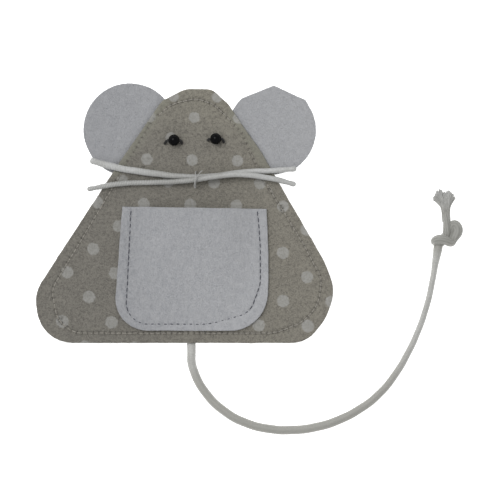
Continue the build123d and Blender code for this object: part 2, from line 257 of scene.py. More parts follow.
class Material:
    """A node material whose colour and bump are built up step by step. Its places and sizes are in mm."""

    def __init__(self, name, **settings):
        self.material = bpy.data.materials.new(name)
        self.material.use_nodes = True
        self.tree = self.material.node_tree
        self.tree.nodes.clear()
        self.bsdf = self.tree.nodes.new("ShaderNodeBsdfPrincipled")
        output = self.tree.nodes.new("ShaderNodeOutputMaterial")
        self.tree.links.new(self.bsdf.outputs[0], output.inputs["Surface"])
        for socket, value in settings.items():
            self.bsdf.inputs[socket.replace("_", " ")].default_value = value
        metres = self.tree.nodes.new("ShaderNodeTexCoord").outputs["Object"]
        inputs = {0: metres, "Scale": 1 / MM}
        self.place = self.node("ShaderNodeVectorMath", inputs, operation="SCALE").outputs[0]

    def node(self, kind, inputs, **settings):
        """A shader node with these settings, its inputs linked to other nodes or set to values."""
        node = self.tree.nodes.new(kind)
        for key, value in settings.items():
            setattr(node, key, value)
        for socket, value in inputs.items():
            if isinstance(value, bpy.types.NodeSocket):
                self.tree.links.new(value, node.inputs[socket])
            elif value is not None:
                node.inputs[socket].default_value = value
        return node

    def math(self, operation, a, b=None, c=None):
        return self.node("ShaderNodeMath", {0: a, 1: b, 2: c}, operation=operation).outputs[0]

    def times(self, *values):
        """The product of all these values."""
        product = values[0]
        for value in values[1:]:
            product = self.math("MULTIPLY", product, value)
        return product

    def mark(self):
        """The number that the mesh carries at each point."""
        return self.node("ShaderNodeAttribute", {}, attribute_name="mark").outputs["Fac"]

    def axes(self):
        return self.node("ShaderNodeSeparateXYZ", {0: self.place}).outputs[:3]

    def mix(self, share, a, b, blend_type="MIX"):
        inputs = {"Factor": share, 6: a, 7: b}
        return self.node("ShaderNodeMix", inputs, data_type="RGBA", blend_type=blend_type).outputs[2]

    def tint(self, share, colour, tone):
        """The colour multiplied by this tone, by a share that may vary from place to place."""
        return self.mix(share, colour, (*tone, 1), "MULTIPLY")

    def noise(self, size, stretch=(1, 1, 1), turn=0.0, detail=2.0, rough=0.5, distort=0.0):
        """Noise with grains about `size` mm across, longer along an axis by `stretch`."""
        place = self.place
        if stretch != (1, 1, 1) or turn:
            inputs = {"Vector": place, "Rotation": (0, 0, turn), "Scale": stretch}
            place = self.node("ShaderNodeMapping", inputs, vector_type="TEXTURE").outputs[0]
        inputs = {"Vector": place, "Scale": 1 / size, "Detail": detail}
        inputs.update({"Roughness": rough, "Distortion": distort})
        return self.node("ShaderNodeTexNoise", inputs).outputs[0]

    def ramp(self, value, low, high, to_low=0.0, to_high=1.0, smooth=True):
        """The value's place between low and high, carried over to between to_low and to_high."""
        inputs = {0: value, 1: low, 2: high, 3: to_low, 4: to_high}
        kind = "SMOOTHSTEP" if smooth else "LINEAR"
        return self.node("ShaderNodeMapRange", inputs, interpolation_type=kind).outputs[0]

    def finish(self, colour, bump=None, bump_depth=0.1, roughness=None):
        """The material itself, with its colour, a bump of this depth and its roughness."""
        self.tree.links.new(colour, self.bsdf.inputs["Base Color"])
        if bump is not None:
            inputs = {"Strength": 1.0, "Distance": bump_depth * MM, "Height": bump}
            self.tree.links.new(self.node("ShaderNodeBump", inputs).outputs[0], self.bsdf.inputs["Normal"])
        if roughness is not None:
            self.tree.links.new(roughness, self.bsdf.inputs["Roughness"])
        return self.material


def felt_fibres(mat, size):
    """Thin pressed fibres lying in all directions, as a value from 0 to 1, brightest along each fibre."""
    total = None
    for turn in (0.3, 1.4, 2.5, 3.3):
        strand = mat.noise(size, stretch=(7, 1, 1), turn=turn, detail=1.0, distort=0.6)
        ridge = mat.math("ABSOLUTE", mat.math("SUBTRACT", strand, 0.5))
        ridge = mat.ramp(ridge, 0.0, 0.05, 1.0, 0.0)
        total = ridge if total is None else mat.math("MAXIMUM", total, ridge)
    return total


def felt_colour(mat, base, light, dark, upright=False):
    """Felt's colour: cloudy patches, blended wool flecks and lighter fibres; also its relief."""
    cloud = mat.noise(9.0, detail=3.0)
    stretch = (1, 2.6, 1) if upright else (1, 1, 1)
    fleck = mat.noise(1.1, stretch=stretch, detail=3.0, rough=0.7)
    grain = mat.noise(0.42, detail=2.0)
    fibre = felt_fibres(mat, 0.42)
    colour = mat.mix(mat.ramp(cloud, 0.3, 0.7, 0.0, 0.55), base, light)
    colour = mat.mix(mat.ramp(fleck, 0.36, 0.62, 0.95, 0.0), colour, dark)
    colour = mat.mix(mat.ramp(grain, 0.4, 0.66, 0.0, 0.75), colour, light)
    colour = mat.mix(mat.times(fibre, 0.3), colour, light)
    relief = mat.math("MULTIPLY_ADD", fibre, 0.35, mat.math("MULTIPLY_ADD", fleck, 0.9, grain))
    return colour, relief


def smoothed_and_highlit(mat, colour, share, flat_colour):
    """A sheet's colour, mixed by up to this share towards a flat colour where the mesh's mark is above 0: its
    flecks blurred, and a painted highlight where that colour is lighter.
    """
    return mat.mix(mat.ramp(mat.mark(), 0, 1, 0, share, smooth=False), colour, flat_colour)


def shaded_in_holes(mat, colour, shade):
    """A sheet's colour with painted shade in its needle holes, where the mesh's mark is below 0."""
    return mat.mix(mat.ramp(mat.mark(), -1, 0, 0.7, 0, smooth=False), colour, shade)


FELT_FINISH = {"Roughness": 0.95, "Sheen_Weight": 0.18, "Sheen_Roughness": 0.6, "Specular_IOR_Level": 0.2}
FELT_RELIEF = 0.16  # mm


def grey_felt():
    """The light grey wool of the pocket and the ears: paler to the right, which is painted light, and paler
    at the bottom.
    """
    mat = Material("grey_felt", **FELT_FINISH)
    base, light, dark = srgb(157, 158, 161), srgb(168, 169, 172), srgb(140, 142, 147)
    colour, relief = felt_colour(mat, base, light, dark, upright=True)
    colour = smoothed_and_highlit(mat, colour, 0.5, srgb(160, 161, 164))
    x, y, _ = mat.axes()
    colour = mat.mix(0.1, colour, srgb(120, 122, 126))
    # painted light: the felt is made paler towards the right, where light falls more strongly
    painted_light_to_right = mat.ramp(x, -40, 45, smooth=False)
    colour = mat.mix(mat.times(painted_light_to_right, 0.4), colour, srgb(186, 187, 189))
    to_bottom = mat.times(mat.ramp(x, -30, 15), mat.ramp(y, 15, -40))
    colour = mat.tint(to_bottom, colour, (1.12, 1.12, 1.12))
    return mat.finish(shaded_in_holes(mat, colour, srgb(88, 90, 98)), relief, FELT_RELIEF)


def taupe(mat):
    """The taupe wool of both body sheets, yellower at the head, and paler to the right with painted light."""
    colour, relief = felt_colour(mat, srgb(113, 110, 103), srgb(132, 129, 121), srgb(92, 89, 84))
    x, y, _ = mat.axes()
    colour = mat.tint(mat.ramp(y, 24, 44), colour, (1.15, 1.15, 1.12))
    # painted light: paler towards the right, where light falls more strongly
    colour = mat.tint(mat.ramp(x, -35, 45), colour, (1.24, 1.23, 1.19))
    return colour, relief


def body_felt():
    mat = Material("body_felt", **FELT_FINISH)
    return mat.finish(*taupe(mat), FELT_RELIEF)


# The printed dots, in mm. Their rows step down the sheet, a little wider apart each time, and every
# other row is shifted by half a pitch.
ROW_START, ROW_PITCH, ROW_GROWTH, ROW_TILT = 3.2, 8.5, 0.085, 0.02
DOT_START, DOT_SHIFT, DOT_PITCH, DOT_PITCH_GROWTH = 2.0, -0.38, 17.35, 0.2
DOT_R, DOT_R_GROWTH, DOT_RAGGED, DOT_BLUR = 2.2, 0.03, 1.1, 0.28
PRINT_LEFT = -50.5  # no dot lies beyond it


def dots(mat):
    """The printed dots as a value: 1 inside a dot, 0 outside all of them."""
    x, y, _ = mat.axes()
    level = mat.math("MULTIPLY_ADD", mat.math("SUBTRACT", x, DOT_START), ROW_TILT, y)
    below = mat.math("SUBTRACT", ROW_START, level)
    root = mat.math("SQRT", mat.math("MULTIPLY_ADD", below, 4 * ROW_GROWTH, ROW_PITCH**2))
    row = mat.math("ROUND", mat.math("DIVIDE", mat.math("SUBTRACT", root, ROW_PITCH), 2 * ROW_GROWTH))
    row_below = mat.times(row, mat.math("MULTIPLY_ADD", row, ROW_GROWTH, ROW_PITCH))
    off_row = mat.math("SUBTRACT", below, row_below)
    pitch = mat.math("MULTIPLY_ADD", row, DOT_PITCH_GROWTH, DOT_PITCH)
    start = mat.math("MULTIPLY_ADD", row, DOT_SHIFT, DOT_START)
    half = mat.times(mat.math("FLOORED_MODULO", row, 2.0), 0.5)
    column = mat.math("ADD", mat.math("DIVIDE", mat.math("SUBTRACT", x, start), pitch), half)
    off_column = mat.times(mat.math("SUBTRACT", column, mat.math("ROUND", column)), pitch)
    away = mat.math("SQRT", mat.math("MULTIPLY_ADD", off_row, off_row, mat.times(off_column, off_column)))
    ripple = mat.math("SUBTRACT", mat.noise(0.9, detail=3.0), 0.5)
    ragged = mat.math("MULTIPLY_ADD", ripple, DOT_RAGGED, away)
    radius = mat.math("MULTIPLY_ADD", row, DOT_R_GROWTH, DOT_R)
    within = mat.ramp(mat.math("SUBTRACT", ragged, radius), -DOT_BLUR, DOT_BLUR, 1.0, 0.0)
    return mat.times(within, mat.math("GREATER_THAN", x, PRINT_LEFT))


def printed_felt():
    """The front sheet's taupe wool with its worn print of pale dots."""
    mat = Material("printed_felt", **FELT_FINISH)
    colour, relief = taupe(mat)
    # the rim over the ears' roots: flecks blurred, with a painted highlight making it lighter and yellower
    colour = smoothed_and_highlit(mat, colour, 0.6, srgb(136, 135, 123))
    still_inked = mat.ramp(mat.noise(0.8, detail=4.0, rough=0.7), 0.36, 0.6, 0.62, 1.0)
    print_share = mat.times(dots(mat), still_inked)
    ink = mat.mix(mat.noise(1.6, detail=3.0), srgb(136, 136, 132), srgb(160, 159, 156))
    # painted light: the dots, too, are made paler towards the right
    ink = mat.tint(mat.ramp(mat.axes()[0], -35, 35), ink, (1.12, 1.12, 1.12))
    colour = mat.mix(mat.times(print_share, 0.92), colour, ink)
    relief = mat.mix(mat.times(print_share, 0.5), relief, (1.1, 1.1, 1.1, 1))
    return mat.finish(shaded_in_holes(mat, colour, srgb(62, 59, 54)), relief, FELT_RELIEF)


def thread(name, base, shade):
    """Sewing thread: fine filaments with a dull sheen."""
    mat = Material(name, Roughness=0.55, Sheen_Weight=0.15, Specular_IOR_Level=0.4)
    filament = mat.noise(0.07, stretch=(5, 5, 1), detail=2.0)
    colour = mat.mix(mat.ramp(filament, 0.3, 0.7), shade, base)
    # painted shade in the grooves between the thread's plies, where the mesh's mark is high
    colour = mat.mix(mat.ramp(mat.mark(), 0.2, 1.0, 0.0, 0.6), colour, shade)
    return mat.finish(colour, filament, 0.03)


def satin_cord():
    """Soft braided cord: a pale grey with fine threads across it and a satin sheen.

    The whiskers are paler than the tail, and the tail has painted sheen that makes it paler near its root and
    on its far side.
    """
    sheen = {"Sheen_Weight": 0.3, "Sheen_Roughness": 0.35, "Specular_IOR_Level": 0.5, "Anisotropic": 0.3}
    mat = Material("satin_cord", Roughness=0.42, **sheen)
    cloud = mat.noise(6.0, detail=2.0)
    yarn = mat.noise(0.16, detail=3.0, rough=0.7)
    wear = mat.noise(0.7, detail=3.0, rough=0.7)
    x, y, _ = mat.axes()
    in_whiskers = mat.ramp(y, 4, 9)
    colour = mat.mix(in_whiskers, srgb(164, 163, 157), srgb(196, 197, 197))
    # painted sheen: the tail is made paler on its far side and near its root
    sheen_on_far_side = mat.times(mat.ramp(x, 74, 90), mat.ramp(y, -12, -17))
    sheen_near_root = mat.times(mat.ramp(x, 14, 6), mat.ramp(y, -66, -54), mat.ramp(y, -30, -40))
    colour = mat.mix(mat.math("MAXIMUM", sheen_on_far_side, sheen_near_root), colour, srgb(190, 190, 187))
    from_tie = mat.math("ABSOLUTE", mat.math("SUBTRACT", x, 2))
    beside_tie = mat.times(mat.ramp(from_tie, 24, 8), in_whiskers)
    colour = mat.mix(mat.times(beside_tie, 0.6), colour, srgb(158, 158, 156))
    at_end = mat.ramp(x, 88, 92)
    in_knot = mat.times(at_end, mat.ramp(y, -12.5, -10), mat.ramp(y, 3, -2))
    colour = mat.mix(mat.times(in_knot, 0.75), colour, srgb(143, 143, 138))
    in_fray = mat.times(at_end, mat.ramp(y, 0, 4))
    colour = mat.mix(mat.times(in_fray, 0.75), colour, srgb(188, 188, 186))
    colour = mat.mix(mat.ramp(cloud, 0.3, 0.7, 0.0, 0.3), colour, srgb(150, 150, 144))
    colour = mat.mix(mat.ramp(yarn, 0.35, 0.62, 0.4, 0.0), colour, srgb(132, 132, 127))
    colour = mat.mix(mat.ramp(wear, 0.42, 0.6, 0.3, 0.0), colour, srgb(140, 140, 136))
    # painted shade in the grooves between the cord's ribs and yarns, where the mesh's mark is high
    colour = mat.mix(mat.ramp(mat.mark(), 0.25, 1.0, 0.0, 0.6), colour, srgb(118, 118, 113))
    return mat.finish(colour, yarn, 0.05)


def black_glass():
    """The beads' black glass, a little hazy with handling."""
    mat = Material("black_glass", Roughness=0.2, Specular_IOR_Level=0.08)
    haze = mat.noise(1.2, detail=3.0)
    colour = mat.mix(haze, srgb(3, 3, 4), srgb(14, 14, 16))
    return mat.finish(colour, haze, 0.015, roughness=mat.ramp(haze, 0.3, 0.7, 0.14, 0.3))


LOOKS = {  # by material slot
    "grey_felt": grey_felt(),
    "body_felt": body_felt(),
    "printed_felt": printed_felt(),
    "beige_thread": thread("beige_thread", srgb(166, 162, 153), srgb(118, 114, 107)),
    "dark_thread": thread("dark_thread", srgb(92, 94, 102), srgb(58, 60, 68)),
    "black_thread": thread("black_thread", srgb(16, 16, 18), srgb(8, 8, 10)),
    "white_thread": thread("white_thread", srgb(178, 178, 176), srgb(146, 146, 145)),
    "satin_cord": satin_cord(),
    "black_glass": black_glass(),
}

# ---------------- cords
TAIL_ROUTE = [
    (0.0024, -0.0424, 0.0012),
    (0.0024, -0.0466, 0.0012),
    (0.0024, -0.0516, 0.0015),
    (0.0024, -0.0566, 0.0015),
    (0.0049, -0.0634, 0.0015),
    (0.0106, -0.0712, 0.0015),
    (0.0200, -0.0779, 0.0015),
    (0.0318, -0.0813, 0.0015),
    (0.0456, -0.0812, 0.0015),
    (0.0585, -0.0776, 0.0015),
    (0.0708, -0.0702, 0.0015),
    (0.0794, -0.0602, 0.0015),
    (0.0868, -0.0462, 0.0015),
    (0.0914, -0.0326, 0.0015),
    (0.0938, -0.0189, 0.0015),
    (0.0951, -0.0104, 0.0018),
]
UPPER_WHISKER_ROUTE = [
    (-0.0354, 0.0198, 0.00375),
    (-0.0268, 0.0170, 0.00375),
    (-0.0145, 0.0152, 0.00375),
    (-0.0015, 0.0135, 0.00375),
    (0.0105, 0.0136, 0.00375),
    (0.0225, 0.0156, 0.00375),
    (0.0330, 0.0157, 0.00375),
    (0.0418, 0.0166, 0.00375),
]
LOWER_WHISKER_ROUTE = [
    (-0.0365, 0.0088, 0.00375),
    (-0.0265, 0.0110, 0.00375),
    (-0.0155, 0.0114, 0.00375),
    (-0.0055, 0.0115, 0.00415),
    (0.0032, 0.0122, 0.00595),
    (0.0118, 0.0137, 0.00595),
    (0.0204, 0.0146, 0.00595),
    (0.0286, 0.0136, 0.00495),
    (0.0352, 0.0124, 0.00375),
    (0.0416, 0.0106, 0.00375),
]
TAIL_D = 3.0 * MM
WHISKER_D = 2.0 * MM
RIB_PITCH = 0.62 * MM
FULL_SHADE_RIB_DEPTH = 0.12  # a rib this deep, as a share of the cord's radius, has its grooves fully darkened with painted shade


def ribbed(shape):
    """The section of a round-braided cord, with fine ribs across it.

    shape(run) gives its width, its height and the depth of its ribs.
    """

    def section(run, angle):
        rib = 0.5 - 0.5 * np.cos(2 * math.pi * (run / RIB_PITCH + 0.5 * angle / math.pi))
        knit = 0.5 - 0.5 * np.cos(8 * angle + 2 * math.pi * run / (3 * RIB_PITCH))
        twist = 0.5 + 0.5 * np.cos(angle - 2 * math.pi * run / (9 * MM))
        wide, high, depth = shape(run)
        size = (1 - depth * rib) * (1 - 0.4 * depth * knit) * (1 - 0.05 * twist)
        return size * wide, size * high, (0.7 * rib + 0.3 * knit) * depth / FULL_SHADE_RIB_DEPTH

    return section


def made_tail():
    """The tail: pressed flat at its root between the sheets, round outside, thinner towards its knot."""
    line = smooth_line(TAIL_ROUTE)
    total = run_of(line)[-1]

    def shape(run):
        thin = smoothstep(0.45, 0.85, run / total) * (1 - smoothstep(0.92, 1.0, run / total))
        near_knot = smoothstep(0.93, 0.99, run / total)
        wide = 1.16 + 0.34 * (1 - smoothstep(2 * MM, 6 * MM, run)) - 0.34 * thin + 0.1 * near_knot
        high = 1 - 0.64 * (1 - smoothstep(5.5 * MM, 11 * MM, run)) - 0.12 * thin
        return wide, high, 0.05

    part = tube(line, TAIL_D / 2, sides=28, step=0.14 * MM, section=ribbed(shape))
    return piece("tail", "satin_cord", [part]), line


tail, tail_line = made_tail()
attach(tail, "felt_body")
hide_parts("tail_root", "tail_cord")


def whisker(name, route, pressing, ribs):
    """A whisker: a thin ribbed cord with blunt, slightly pinched ends.

    pressing is how much wider and flatter its left end is, and ribs is how deep its ribs are there.
    """
    line = smooth_line(route)
    total = run_of(line)[-1]

    def pinched(from_end):
        return 0.12 * np.exp(-(((from_end - 3 * MM) / (1.2 * MM)) ** 2))

    def shape(run):
        pinch = 1 - pinched(run) - pinched(total - run)
        pressed = pressing * (1 - smoothstep(0.25, 0.5, run / total))
        pulled_smooth = 1 - 0.65 * smoothstep(0.4, 0.7, run / total)
        return pinch * (1.08 + pressed), pinch * (1 - 0.5 * pressed), ribs * pulled_smooth

    part = tube(line, WHISKER_D / 2, sides=20, step=0.11 * MM, cap=1.0 * MM, section=ribbed(shape))
    obj = piece("cord_" + name, "satin_cord", [part])
    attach(obj, "whiskers")
    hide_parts(name)
    return obj, line


whisker_upper, upper_line = whisker("whisker_upper", UPPER_WHISKER_ROUTE, 0.28, 0.09)
whisker_lower, lower_line = whisker("whisker_lower", LOWER_WHISKER_ROUTE, 0.0, 0.13)

# ---------------- knot and fray at the tail's end
KNOT_ROUTE = [
    (0.0951, -0.0112, 0.0018),
    (0.0976, -0.0092, 0.0019),
    (0.0995, -0.0064, 0.0021),
    (0.1010, -0.0042, 0.0026),
    (0.1019, -0.0064, 0.0031),
    (0.1008, -0.0084, 0.0029),
    (0.0999, -0.0097, 0.0032),
    (0.0994, -0.0112, 0.0040),
    (0.0974, -0.0101, 0.0049),
    (0.0952, -0.0095, 0.0047),
    (0.0936, -0.0102, 0.0032),
    (0.0950, -0.0105, 0.0024),
    (0.0970, -0.0098, 0.0026),
    (0.0981, -0.0082, 0.0031),
    (0.0981, -0.0055, 0.0029),
    (0.0980, -0.0026, 0.0020),
    (0.0978, 0.0004, 0.0012),
]


def knot_strand():
    """The knot's one strand: lengthwise yarns that a pulled knot shows, wound round slowly."""
    line = smooth_line(KNOT_ROUTE)
    total = run_of(line)[-1]

    def section(run, angle):
        yarn = np.abs(np.cos(5 * angle - 2 * math.pi * run / (14 * MM)))
        size = 1 - 0.12 * (1 - yarn)
        share = run / total
        neck = smoothstep(0.72, 0.9, share)
        first_bulge = 0.42 * np.exp(-(((share - 0.31) / 0.08) ** 2))
        second_bulge = 0.24 * np.exp(-(((share - 0.6) / 0.07) ** 2))
        wide = 1.3 + first_bulge + second_bulge - 0.28 * neck
        return size * wide, size * (1.12 - 0.16 * neck), 1 - yarn

    part = tube(line, TAIL_D / 2, sides=40, step=0.2 * MM, cap=0.5 * MM, section=section)
    return piece("knot_strand", "satin_cord", [part])


knot = knot_strand()
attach(knot, "felt_body")
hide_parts("tail_knot")

FRAY_TIPS = [  # across the brush, from its left tip to its right one
    (0.0929, 0.0051, 0.0007),
    (0.0944, 0.0082, 0.0011),
    (0.0957, 0.0086, 0.0014),
    (0.0966, 0.0074, 0.0012),
    (0.0978, 0.0077, 0.0012),
    (0.0990, 0.0083, 0.0014),
    (0.1000, 0.0072, 0.0011),
    (0.1012, 0.0057, 0.0008),
]
FRAY_NECK = (0.0978, -0.0034, 0.0019)
NECK_R = 1.35 * MM
NECK_LENGTH = 4.8 * MM  # the filaments lie together for this far
FILAMENTS = 300
FILAMENT_R = 0.13 * MM


def fray():
    """The cord's end opened into a brush: loose filaments from its neck to its tips."""
    parts = []
    tips, neck_middle = np.array(FRAY_TIPS), np.array(FRAY_NECK)
    for _ in range(FILAMENTS):
        share = rng.random()
        tip = np.array([np.interp(share, np.linspace(0, 1, len(tips)), tips[:, k]) for k in range(3)])
        tip += rng.normal(0, 1, 3) * (0.22 * MM, 0.28 * MM, 0.22 * MM)
        tip[2] = max(tip[2], 0.12 * MM)
        turn, out = rng.random() * 2 * math.pi, NECK_R * math.sqrt(rng.random())
        across, up = 0.7 * MM * (share - 0.5) + out * math.cos(turn), out * math.sin(turn)
        neck = neck_middle + (0.8 * across, 0, 0.6 * up)
        waist = neck_middle + (0.9 * across - 0.1 * MM, NECK_LENGTH, 0.7 * up - 0.2 * MM)
        bend = 0.5 * (waist + tip) + (0.22 * (waist[0] - tip[0]), -0.2 * MM, 0)
        line = smooth_line([neck, waist, bend, tip])
        parts.append(tube(line, FILAMENT_R, sides=6, step=0.7 * MM, cap=0.1 * MM))
    return piece("fray_filaments", "satin_cord", parts)


brush = fray()
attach(brush, "felt_body")
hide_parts("tail_fray")

# ---------------- seams
STITCH_SHARE = 0.8  # part of a stitch's pitch that its thread shows
STITCH_R = 0.23 * MM
HOLE_R = 0.33 * MM
PULL = 0.2 * MM  # how far stitches are drawn in where the seam is tightest
SEWING_TWIST = plies(3, 0.9 * MM, 0.22)


def islands(node):
    """The points of each separate solid in a CAD node."""
    mesh = bmesh.new()
    mesh.from_mesh(NODES[node].data)
    bmesh.ops.remove_doubles(mesh, verts=mesh.verts, dist=1e-6)
    mesh.verts.index_update()
    seen, found = set(), []
    for start in mesh.verts:
        if start.index in seen:
            continue
        seen.add(start.index)
        stack, island = [start], []
        while stack:
            vertex = stack.pop()
            island.append(vertex.co[:])
            for edge in vertex.link_edges:
                other = edge.other_vert(vertex)
                if other.index not in seen:
                    seen.add(other.index)
                    stack.append(other)
        found.append(np.array(island))
    mesh.free()
    return found


class Seam:
    """A seam's stitches, from its CAD threads: middles, directions and half pitches, and its needle holes."""

    def __init__(self, node, spare_holes=()):
        self.node = node
        middles, ahead, halves = [], [], []
        for places in islands(node):
            middle = places.mean(0)
            direction = np.linalg.svd(places - middle)[2][0]
            middles.append(middle)
            ahead.append(direction)
            halves.append(np.ptp((places - middle) @ direction) / STITCH_SHARE / 2)
        self.middles, self.ahead = np.array(middles), np.array(ahead)
        self.halves = np.array(halves)[:, None]
        self.spare_holes = np.array(spare_holes, float).reshape(-1, 2) * MM
        self.line = tree_of(np.vstack([self.along(share) for share in np.linspace(-1, 1, 9)]))
        self.holes = tree_of(np.vstack([self.along(-1), self.along(1), self.spare_holes]))

    def along(self, share):
        """The place seen from above, on each stitch, this share of its half pitch from its middle."""
        return (self.middles + self.ahead * self.halves * share)[:, :2]

    def close_points(self):
        """Points across the seam and round its needle holes, where the felt's mesh has to be fine."""
        across = np.c_[-self.ahead[:, 1], self.ahead[:, 0]]
        rows = [
            self.along(share) + across * offset * MM
            for share in (-0.5, 0, 0.5)
            for offset in (-0.95, -0.45, 0, 0.45, 0.95)
        ]
        hole = np.vstack([self.along(1), self.spare_holes])
        rows.append(hole)
        for turn in np.arange(6) * math.pi / 3:
            rows.append(hole + HOLE_R * np.array((math.cos(turn), math.sin(turn))))
        return np.vstack(rows)

    def near_hole(self, points, width):
        """1 in a needle hole, falling off over this width."""
        return np.exp(-((to_nearest(self.holes, points) / width) ** 2))

    def dent(self, points, depth, width, hole_depth):
        """How far the seam pulls the felt in at each point."""
        pulled_in = depth * np.exp(-((to_nearest(self.line, points) / width) ** 2))
        return pulled_in + hole_depth * self.near_hole(points, 0.26 * MM)

    def thread(self, name, slot, side=1, lift=0.1 * MM, sink=6, tight=(0, 0)):
        """The stitches themselves: short arcs of twisted thread that dip into the needle holes.

        side is 1 above the sheets and -1 below them, sink is how late the arcs dip, and tight is the
        stretch along Y where they are drawn in.
        """
        parts = []
        shares = np.linspace(-1, 1, 9)
        for middle, ahead, half in zip(self.middles, self.ahead, self.halves[:, 0]):
            across = np.array((-ahead[1], ahead[0], 0))
            slip = rng.normal(0, 0.05 * MM, 2)
            rise = lift * (1 - shares**2) - 0.9 * MM * np.abs(shares) ** sink
            if tight[0] < middle[1] < tight[1]:
                rise -= PULL
            line = middle + np.outer(shares, ahead) * half * 0.97
            line += np.outer(np.interp(shares, (-1, 1), slip), across)
            line[:, 2] += side * rise
            parts.append(tube(line, STITCH_R, sides=9, step=0.14 * MM, cap=0.1 * MM, section=SEWING_TWIST))
        obj = piece(name, slot, parts)
        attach(obj, "felt_body")
        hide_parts(self.node)


# Needle holes left beside the outline seam by its first stitches, which were taken out, in mm
CORNER_HOLES = [(-47.1, -39.3), (-46.2, -39.6), (-46.9, -40.6), (-45.9, -40.9)]
FLANK_HOLES = [(35.9, 2.7), (36.7, 1.9), (36.2, 1.2)]
outline_seam = Seam("outline_seam_needle_thread", CORNER_HOLES + FLANK_HOLES)
pocket_seam = Seam("pocket_seam_needle_thread")
outline_back = Seam("outline_seam_bobbin_thread")
pocket_back = Seam("pocket_seam_bobbin_thread")
outline_seam.thread("outline_stitches", "beige_thread", tight=(-43 * MM, 37 * MM))
outline_back.thread("outline_stitches_below", "beige_thread", side=-1, lift=0.02 * MM)
pocket_seam.thread("pocket_stitches", "dark_thread", lift=0.05 * MM, sink=2.4, tight=(-60 * MM, -36 * MM))
pocket_back.thread("pocket_stitches_below", "dark_thread", side=-1, lift=0.02 * MM)

# ---------------- felt
BACK_LOW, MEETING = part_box("body_back")[0].z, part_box("body_back")[1].z
FRONT_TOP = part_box("body_front")[1].z
SEWN_PANEL_TOP = FRONT_TOP + (FRONT_TOP - MEETING)  # of the pocket, where it is sewn down
CUT_ROUND = 0.32 * MM  # how far in a cut edge is rounded
FUZZ = 0.05 * MM  # how rough a cut edge is
GRAIN = 0.85 * MM  # the spacing of a sheet's points


def outline_of(*nodes):
    """The outline of CAD nodes seen from above, anticlockwise. All the cut pieces are convex."""
    places = [(v.co.x, v.co.y) for n in nodes for v in NODES[n].data.vertices]
    loop = np.array([places[i] for i in convex_hull_2d(places)])
    after = np.roll(loop, -1, 0)
    turned = np.sum(loop[:, 0] * after[:, 1] - loop[:, 1] * after[:, 0])
    return loop if turned > 0 else loop[::-1]


def inside(points, loop):
    """Which points lie inside a closed outline."""
    x, y = points[:, 0, None], points[:, 1, None]
    after = np.roll(loop, -1, 0)
    crossed = (loop[:, 1] > y) != (after[:, 1] > y)
    rise = np.where(after[:, 1] == loop[:, 1], 1e-12, after[:, 1] - loop[:, 1])
    at = (after[:, 0] - loop[:, 0]) * (y - loop[:, 1]) / rise + loop[:, 0]
    return (crossed & (x < at)).sum(1) % 2 == 1


def depth_in(points, loop):
    """How far each point lies inside an outline, negative outside it."""
    after = np.roll(loop, -1, 0)
    edge = after - loop
    rel = points[:, None] - loop[None]
    share = np.clip((rel * edge).sum(-1) / np.maximum((edge * edge).sum(-1), 1e-18), 0, 1)
    away = np.linalg.norm(rel - share[..., None] * edge, axis=-1).min(1)
    return np.where(inside(points, loop), away, -away)


def cut_edge(outline, seed):
    """An outline as scissors leave it: evenly spaced points and the outward direction at each."""
    closed = np.vstack([outline, outline[:1]])
    run = run_of(closed)
    count = round(run[-1] / (0.6 * MM))
    runs = np.arange(count) * run[-1] / count
    loop = np.stack([np.interp(runs, run, closed[:, k]) for k in range(2)], axis=1)
    ahead = unit(np.roll(loop, -1, 0) - np.roll(loop, 1, 0))
    out = np.c_[ahead[:, 1], -ahead[:, 0]]
    wander = 0.16 * MM * wave(loop, 7 * MM, seed) + 0.05 * MM * wave(loop, 1.2 * MM, seed)
    return loop + out * wander[:, None], out


def spread_points(rim, close):
    """Points all over a sheet within its rim: the close ones, and shaken rows where there are none."""
    x = np.arange(rim[:, 0].min(), rim[:, 0].max(), GRAIN)
    y = np.arange(rim[:, 1].min(), rim[:, 1].max(), 0.87 * GRAIN)
    grid = np.stack(np.meshgrid(x, y), -1)
    grid[1::2, :, 0] += GRAIN / 2
    grid = grid.reshape(-1, 2) + rng.uniform(-0.2, 0.2, (grid.size // 2, 2)) * GRAIN
    if close is not None:
        grid = grid[to_nearest(tree_of(close), grid) > 0.7 * GRAIN]
        grid = np.vstack([close, grid])
    return grid[depth_in(grid, rim) > 0.4 * GRAIN]


def flat_mesh(rim, grid):
    """A flat mesh of triangles: its points, its faces turned upward, and which points are its border."""
    count = len(rim)
    places = [Vector(place / MM) for place in np.vstack([rim, grid])]
    edges = [(i, (i + 1) % count) for i in range(count)]
    flat, _, faces, origins, _, _ = delaunay_2d_cdt(places, edges, [], 1, 1e-6)
    flat = np.array([tuple(place) for place in flat]) * MM
    now = {old: new for new, olds in enumerate(origins) for old in olds}
    upward = []
    for face in faces:
        a, b, c = (flat[i] for i in face)
        turned = (b[0] - a[0]) * (c[1] - a[1]) - (b[1] - a[1]) * (c[0] - a[0])
        upward.append(tuple(face) if turned > 0 else tuple(face)[::-1])
    return flat, upward, np.array([now[i] for i in range(count)])


